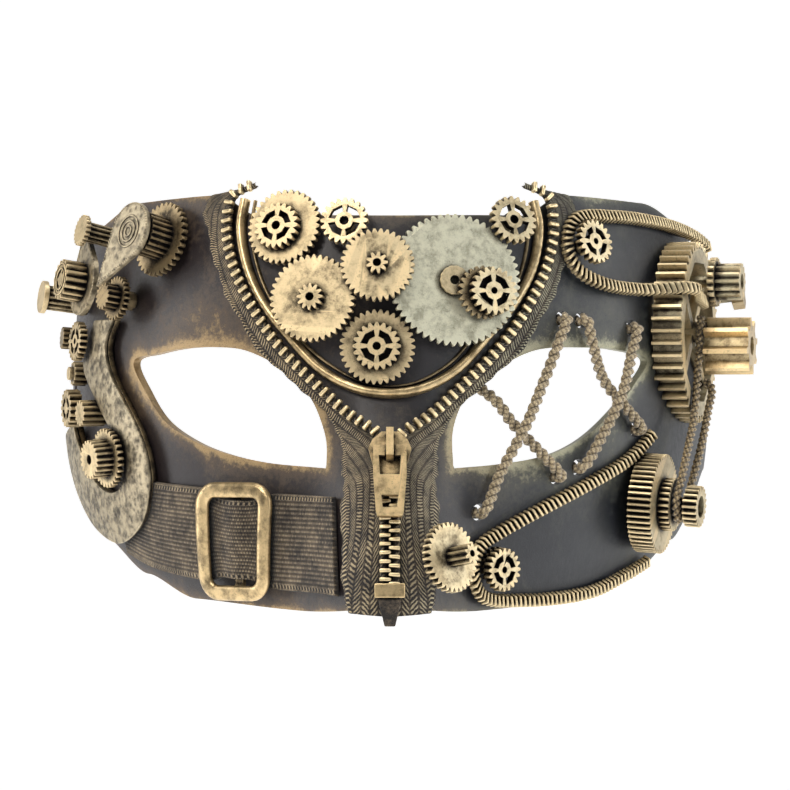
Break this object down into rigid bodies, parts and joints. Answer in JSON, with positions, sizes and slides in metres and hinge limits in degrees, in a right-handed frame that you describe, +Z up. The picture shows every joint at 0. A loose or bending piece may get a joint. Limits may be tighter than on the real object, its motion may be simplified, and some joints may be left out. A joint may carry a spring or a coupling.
{
  "type": "costume eye mask",
  "caption": "Half-face masquerade mask with zipper window, gear clusters, buckled strap and eye lacing, with sliding zipper pull.",
  "frame": {"origin": "inner surface of the nose bridge, on the mid-plane at eye level; the wearer's face mount", "axes": "+X towards the wearer's left, which is the viewer's right; +Y into the wearer's head; +Z up"},
  "size_m": [0.1799, 0.1107, 0.1026],
  "materials": {
    "shell_paint": "moulded resin, blue-black with rubbed antique gold",
    "old_gold": "antique gold, dark in the hollows",
    "dark_brass": "blackened brass",
    "silver_gold": "pale silver-green gilt, mottled",
    "pewter": "hammered, dark pewter with gold highlights",
    "zipper_weave": "herringbone tape with rubbed gold",
    "elastic_weave": "ribbed elastic with rubbed gold",
    "cord_yarn": "twisted two-ply metallic yarn"
  },
  "bodies": {
    "mask": {"arm_plate_side": "pewter", "arm_plate_upper": "pewter", "belt_lower": "old_gold", "belt_upper": "old_gold", "cheek_gear_behind": "old_gold", "cheek_gear_large": "old_gold", "cheek_gear_slotted": "old_gold", "elastic_strap": "elastic_weave", "hex_bolt": "dark_brass", "hook_plate": "pewter", "lacing_cord_corner": "cord_yarn", "lacing_cord_inner": "cord_yarn", "lacing_cord_long": "cord_yarn", "lacing_cord_outer": "cord_yarn", "mask_shell": "shell_paint", "ring_gear": "old_gold", "ring_pinion": "old_gold", "stacked_gear_large": "old_gold", "stacked_gear_middle": "old_gold", "stacked_pinion": "old_gold", "strap_buckle": "old_gold", "temple_left_gear_back": "old_gold", "temple_left_gear_hooked": "old_gold", "temple_left_gear_hub": "old_gold", "temple_left_gear_lower": "old_gold", "temple_left_gear_side": "old_gold", "temple_left_gear_slotted": "old_gold", "temple_left_gear_under_arm": "old_gold", "temple_left_gear_upper": "old_gold", "temple_left_pinion": "old_gold", "temple_left_spool_back": "old_gold", "temple_left_spool_top": "old_gold", "temple_right_gear_slotted": "old_gold", "temple_right_gear_upper": "old_gold", "temple_rope": "cord_yarn", "window_bezel": "old_gold", "window_gear_bottom_base": "old_gold", "window_gear_bottom_top": "old_gold", "window_gear_centre": "old_gold", "window_gear_left_base": "old_gold", "window_gear_left_top": "old_gold", "window_gear_lower_left": "old_gold", "window_gear_right_base": "old_gold", "window_gear_right_top": "old_gold", "window_gear_silver": "silver_gold", "window_gear_slotted": "old_gold", "window_gear_upper_right": "old_gold", "window_washer": "old_gold", "zipper_bottom_stop": "dark_brass", "zipper_tail": "dark_brass", "zipper_tape_left": "zipper_weave", "zipper_tape_right": "zipper_weave", "zipper_teeth_left": "old_gold", "zipper_teeth_right": "old_gold"},
    "slider": {"zipper_slider": "old_gold"},
    "pull": {"zipper_pull": "old_gold"}
  },
  "joints": [
    {"name": "zipper_slide", "type": "slide", "parent": "mask", "child": "slider", "axis": [0, -0.4254, -0.905], "range_m": [0, 0.012]},
    {"name": "pull_hinge", "type": "hinge", "parent": "slider", "child": "pull", "pos_m": [0, -0.01547, -0.00887], "axis": [-1, 0, 0], "range_deg": [0, 150]}
  ]
}
